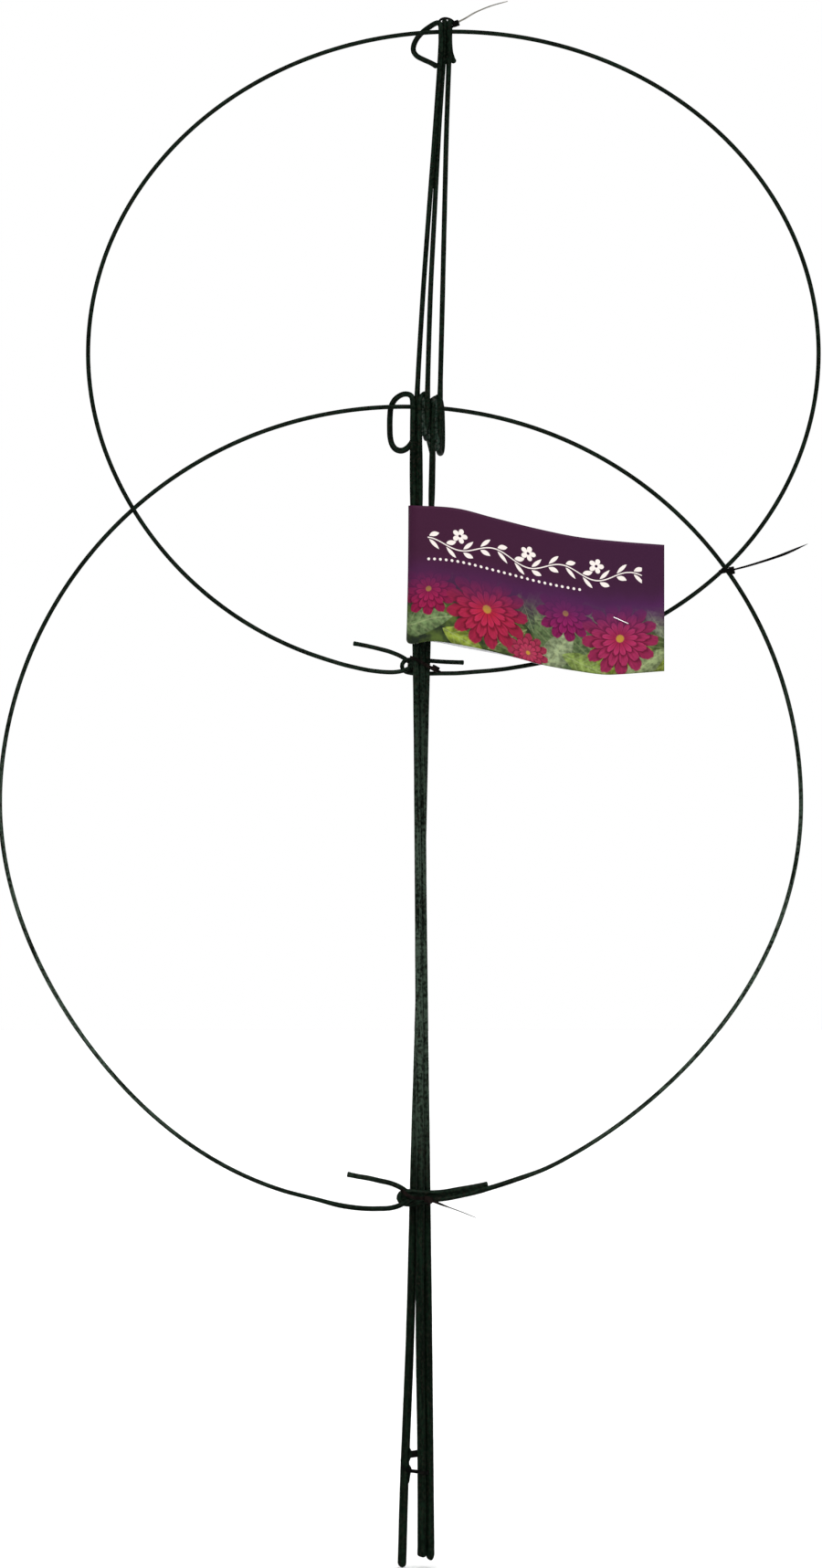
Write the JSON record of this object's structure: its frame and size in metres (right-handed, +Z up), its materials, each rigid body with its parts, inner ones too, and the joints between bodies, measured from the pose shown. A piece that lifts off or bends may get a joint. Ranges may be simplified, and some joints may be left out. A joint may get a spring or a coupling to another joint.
{
  "type": "linking flower support",
  "caption": "Linking wire flower support in dark green, folded flat: legs with coils and eyes, hoops with hooked ends, cable ties and a folded card",
  "frame": {"origin": "the mount stake_feet, at the feet of the bundled legs, level with the lowest foot", "axes": "+Z up along the legs, +X to the right in the picture, -Y towards the viewer"},
  "size_m": [0.4861, 0.0387, 0.9264],
  "materials": {
    "leg_left_coat": "satin",
    "leg_middle_coat": "satin",
    "leg_right_coat": "satin",
    "upper_hoop_coat": "satin",
    "lower_hoop_coat": "satin",
    "top_tie_nylon": "satin",
    "upper_hook_tie_nylon": "satin",
    "lower_hook_tie_nylon": "satin",
    "crossing_tie_nylon": "satin",
    "foot_tie_nylon": "satin",
    "label_card_print": "satin",
    "label_staple_steel": "satin"
  },
  "bodies": {
    "legs": {"leg_left": "leg_left_coat", "leg_middle": "leg_middle_coat", "leg_right": "leg_right_coat", "top_tie": "top_tie_nylon", "upper_hook_tie": "upper_hook_tie_nylon", "foot_tie": "foot_tie_nylon"},
    "upper_hoop_body": {"upper_hoop": "upper_hoop_coat"},
    "lower_hoop_body": {"lower_hoop": "lower_hoop_coat", "lower_hook_tie": "lower_hook_tie_nylon", "crossing_tie": "crossing_tie_nylon"},
    "label": {"label_card": "label_card_print", "label_staple": "label_staple_steel"}
  },
  "joints": [
    {"name": "upper_hoop_swing", "type": "hinge", "parent": "legs", "child": "upper_hoop_body", "pos_m": [0.0175, 0, 0.9076], "axis": [1, 0, 0], "range_deg": [0, 270]},
    {"name": "lower_hoop_swing", "type": "hinge", "parent": "legs", "child": "lower_hoop_body", "pos_m": [0.0055, 0, 0.6853], "axis": [-1, 0, 0], "range_deg": [0, 110]},
    {"name": "label_swing", "type": "hinge", "parent": "legs", "child": "label", "pos_m": [0.0033, -0.005, 0.586], "axis": [0, 0, -1], "range_deg": [0, 150]}
  ]
}
